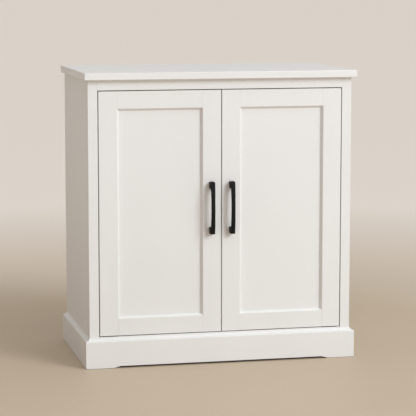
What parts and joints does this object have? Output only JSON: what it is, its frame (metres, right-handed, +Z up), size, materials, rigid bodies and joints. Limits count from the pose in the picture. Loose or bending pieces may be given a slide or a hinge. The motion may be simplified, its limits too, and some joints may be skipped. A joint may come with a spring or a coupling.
{
  "type": "two-door storage cabinet",
  "caption": "White framed storage cabinet with inset panelled doors on hidden pivots, bowed black pulls, an overhanging top, a coved plinth and loose shelves inside.",
  "frame": {"origin": "on the floor, in the middle of the footprint with the pulls counted in the depth", "axes": "+X to the viewer's right when facing the doors, +Y towards the back, +Z up"},
  "size_m": [0.802, 0.468, 0.85],
  "materials": {
    "white_paint": "warm white satin paint sprayed on fibreboard",
    "white_board": "white melamine-faced board",
    "bare_wood": "bare planed beech",
    "black_iron": "matt black powder coat",
    "zinc_steel": "bright zinc plate",
    "dark_nylon": "moulded nylon",
    "white_plastic": "moulded white plastic",
    "ferrite": "sintered ferrite magnet",
    "soft_rubber": "soft translucent pads"
  },
  "bodies": {
    "cabinet": {"top_panel": "white_paint", "left_side_panel": "white_paint", "right_side_panel": "white_paint", "bottom_panel": "white_board", "back_panel": "white_board", "front_stretcher": "white_board", "rear_stretcher": "white_board", "left_face_stile": "white_paint", "right_face_stile": "white_paint", "top_face_rail": "white_paint", "bottom_face_rail": "white_paint", "front_plinth": "white_paint", "left_plinth": "white_paint", "right_plinth": "white_paint", "rear_plinth": "white_board", "corner_blocks": "bare_wood", "glides": "dark_nylon", "lower_shelf": "white_board", "upper_shelf": "white_board", "shelf_pins": "zinc_steel", "cam_locks": "zinc_steel", "cam_bolts": "zinc_steel", "dowels": "bare_wood", "top_brackets": "zinc_steel", "bracket_screws": "zinc_steel", "back_screws": "zinc_steel", "pivot_plates": "zinc_steel", "pivot_bushes": "dark_nylon", "plate_screws": "zinc_steel", "catch_body": "white_plastic", "catch_magnets": "ferrite", "door_stop": "white_paint", "stop_screws": "zinc_steel"},
    "left_door": {"left_hinge_stile": "white_paint", "left_meeting_stile": "white_paint", "left_top_rail": "white_paint", "left_bottom_rail": "white_paint", "left_panel": "white_paint", "left_pull": "black_iron", "left_pull_screws": "zinc_steel", "left_pivot_leaves": "zinc_steel", "left_pivot_pins": "zinc_steel", "left_leaf_screws": "zinc_steel", "left_strike_plate": "zinc_steel", "left_strike_screw": "zinc_steel", "left_bumpers": "soft_rubber"},
    "right_door": {"right_hinge_stile": "white_paint", "right_meeting_stile": "white_paint", "right_top_rail": "white_paint", "right_bottom_rail": "white_paint", "right_panel": "white_paint", "right_pull": "black_iron", "right_pull_screws": "zinc_steel", "right_pivot_leaves": "zinc_steel", "right_pivot_pins": "zinc_steel", "right_leaf_screws": "zinc_steel", "right_strike_plate": "zinc_steel", "right_strike_screw": "zinc_steel", "right_bumpers": "soft_rubber"}
  },
  "joints": [
    {"name": "left_door_hinge", "type": "hinge", "parent": "cabinet", "child": "left_door", "pos_m": [-0.3475, -0.199, 0.445], "axis": [0, 0, -1], "range_deg": [0, 110]},
    {"name": "right_door_hinge", "type": "hinge", "parent": "cabinet", "child": "right_door", "pos_m": [0.3475, -0.199, 0.445], "axis": [0, 0, 1], "range_deg": [0, 110]}
  ]
}
